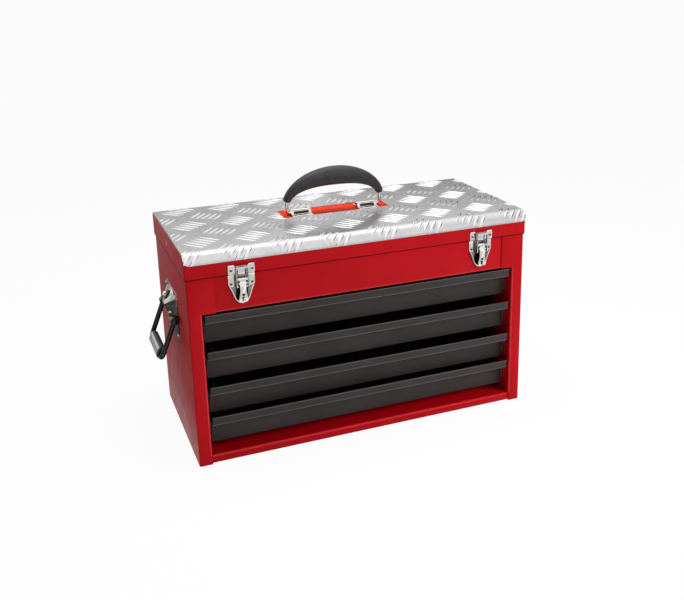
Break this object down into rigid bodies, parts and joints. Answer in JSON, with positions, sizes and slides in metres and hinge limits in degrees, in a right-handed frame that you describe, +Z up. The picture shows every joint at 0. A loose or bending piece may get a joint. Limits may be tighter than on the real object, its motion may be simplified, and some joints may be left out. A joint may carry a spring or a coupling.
{
  "type": "portable tool box",
  "caption": "Portable sheet-steel tool box with shallow drawers on slides, a top compartment under a hinged tread-plate lid, draw latches, a folding top handle and side bail handles.",
  "frame": {"origin": "middle of the footprint, on the floor", "axes": "+X to the right along the long side, +Y to the back, +Z up; the drawers face -Y"},
  "size_m": [0.5898, 0.2663, 0.3858],
  "materials": {
    "red_paint": "satin",
    "charcoal_paint": "satin",
    "zinc_steel": "satin",
    "chrome": "polished",
    "aluminium": "satin",
    "black_rubber": "matte",
    "black_wire": "gloss",
    "grey_sleeve": "satin"
  },
  "bodies": {
    "cabinet": {"left_side_panel": "red_paint", "right_side_panel": "red_paint", "back_panel": "red_paint", "header_panel": "red_paint", "bottom_tray": "red_paint", "till_floor": "red_paint", "left_slide_support": "red_paint", "right_slide_support": "red_paint", "left_slide_rails": "zinc_steel", "right_slide_rails": "zinc_steel", "hinge_leaf_lower": "zinc_steel", "hinge_pin": "zinc_steel", "hinge_rivets_lower": "zinc_steel", "panel_rivets": "red_paint", "latch_base_left": "chrome", "latch_base_right": "chrome", "latch_pins": "chrome", "latch_rivets": "chrome", "side_bracket_left": "chrome", "side_bracket_right": "chrome", "side_handle_pins": "black_wire", "side_handle_rivets": "chrome", "hood_rivets": "chrome"},
    "lid": {"lid_shell": "red_paint", "tread_plate": "aluminium", "hinge_leaf_upper": "zinc_steel", "hinge_rivets_upper": "zinc_steel", "lid_side_rivets": "red_paint", "handle_bracket_left": "chrome", "handle_bracket_right": "chrome", "handle_bracket_rivets": "chrome", "latch_strike_left": "chrome", "latch_strike_right": "chrome", "strike_rivets": "chrome"},
    "drawer_1": {"drawer_1_tray": "charcoal_paint", "drawer_1_front": "charcoal_paint", "drawer_1_slides": "zinc_steel"},
    "drawer_2": {"drawer_2_tray": "charcoal_paint", "drawer_2_front": "charcoal_paint", "drawer_2_slides": "zinc_steel"},
    "drawer_3": {"drawer_3_tray": "charcoal_paint", "drawer_3_front": "charcoal_paint", "drawer_3_slides": "zinc_steel"},
    "drawer_4": {"drawer_4_tray": "charcoal_paint", "drawer_4_front": "charcoal_paint", "drawer_4_slides": "zinc_steel"},
    "top_handle": {"top_handle_rod": "chrome", "top_handle_grip": "black_rubber"},
    "side_handle_left": {"side_bail_left": "black_wire", "side_grip_left": "grey_sleeve"},
    "latch_left_lever": {"latch_lever_left": "chrome"},
    "latch_left_loop": {"latch_loop_left": "chrome"},
    "side_handle_right": {"side_bail_right": "black_wire", "side_grip_right": "grey_sleeve"},
    "latch_right_lever": {"latch_lever_right": "chrome"},
    "latch_right_loop": {"latch_loop_right": "chrome"}
  },
  "joints": [
    {"name": "lid_hinge", "type": "hinge", "parent": "cabinet", "child": "lid", "pos_m": [0, 0.1288, 0.2793], "axis": [-1, 0, 0], "range_deg": [0, 100]},
    {"name": "drawer_1_slide", "type": "slide", "parent": "cabinet", "child": "drawer_1", "axis": [0, -1, 0], "range_m": [0, 0.165]},
    {"name": "drawer_2_slide", "type": "slide", "parent": "cabinet", "child": "drawer_2", "axis": [0, -1, 0], "range_m": [0, 0.165]},
    {"name": "drawer_3_slide", "type": "slide", "parent": "cabinet", "child": "drawer_3", "axis": [0, -1, 0], "range_m": [0, 0.165]},
    {"name": "drawer_4_slide", "type": "slide", "parent": "cabinet", "child": "drawer_4", "axis": [0, -1, 0], "range_m": [0, 0.165]},
    {"name": "top_handle_fold", "type": "hinge", "parent": "lid", "child": "top_handle", "pos_m": [0, 0.0135, 0.31735], "axis": [1, 0, 0], "range_deg": [-78, 62]},
    {"name": "side_handle_left_swing", "type": "hinge", "parent": "cabinet", "child": "side_handle_left", "pos_m": [-0.267, 0, 0.195], "axis": [0, 1, 0], "range_deg": [-20, 68]},
    {"name": "side_handle_right_swing", "type": "hinge", "parent": "cabinet", "child": "side_handle_right", "pos_m": [0.267, 0, 0.195], "axis": [0, -1, 0], "range_deg": [-20, 68]},
    {"name": "latch_left_lever_turn", "type": "hinge", "parent": "cabinet", "child": "latch_left_lever", "pos_m": [-0.184, -0.129, 0.273], "axis": [-1, 0, 0], "range_deg": [0, 115]},
    {"name": "latch_left_loop_turn", "type": "hinge", "parent": "latch_left_lever", "child": "latch_left_loop", "pos_m": [-0.184, -0.1286, 0.262], "axis": [-1, 0, 0], "range_deg": [-115, 0]},
    {"name": "latch_right_lever_turn", "type": "hinge", "parent": "cabinet", "child": "latch_right_lever", "pos_m": [0.184, -0.129, 0.273], "axis": [-1, 0, 0], "range_deg": [0, 115]},
    {"name": "latch_right_loop_turn", "type": "hinge", "parent": "latch_right_lever", "child": "latch_right_loop", "pos_m": [0.184, -0.1286, 0.262], "axis": [-1, 0, 0], "range_deg": [-115, 0]}
  ],
  "couplings": [
    {"joint": "latch_left_loop_turn", "follows": "latch_left_lever_turn", "ratio": -1},
    {"joint": "latch_right_loop_turn", "follows": "latch_right_lever_turn", "ratio": -1}
  ]
}
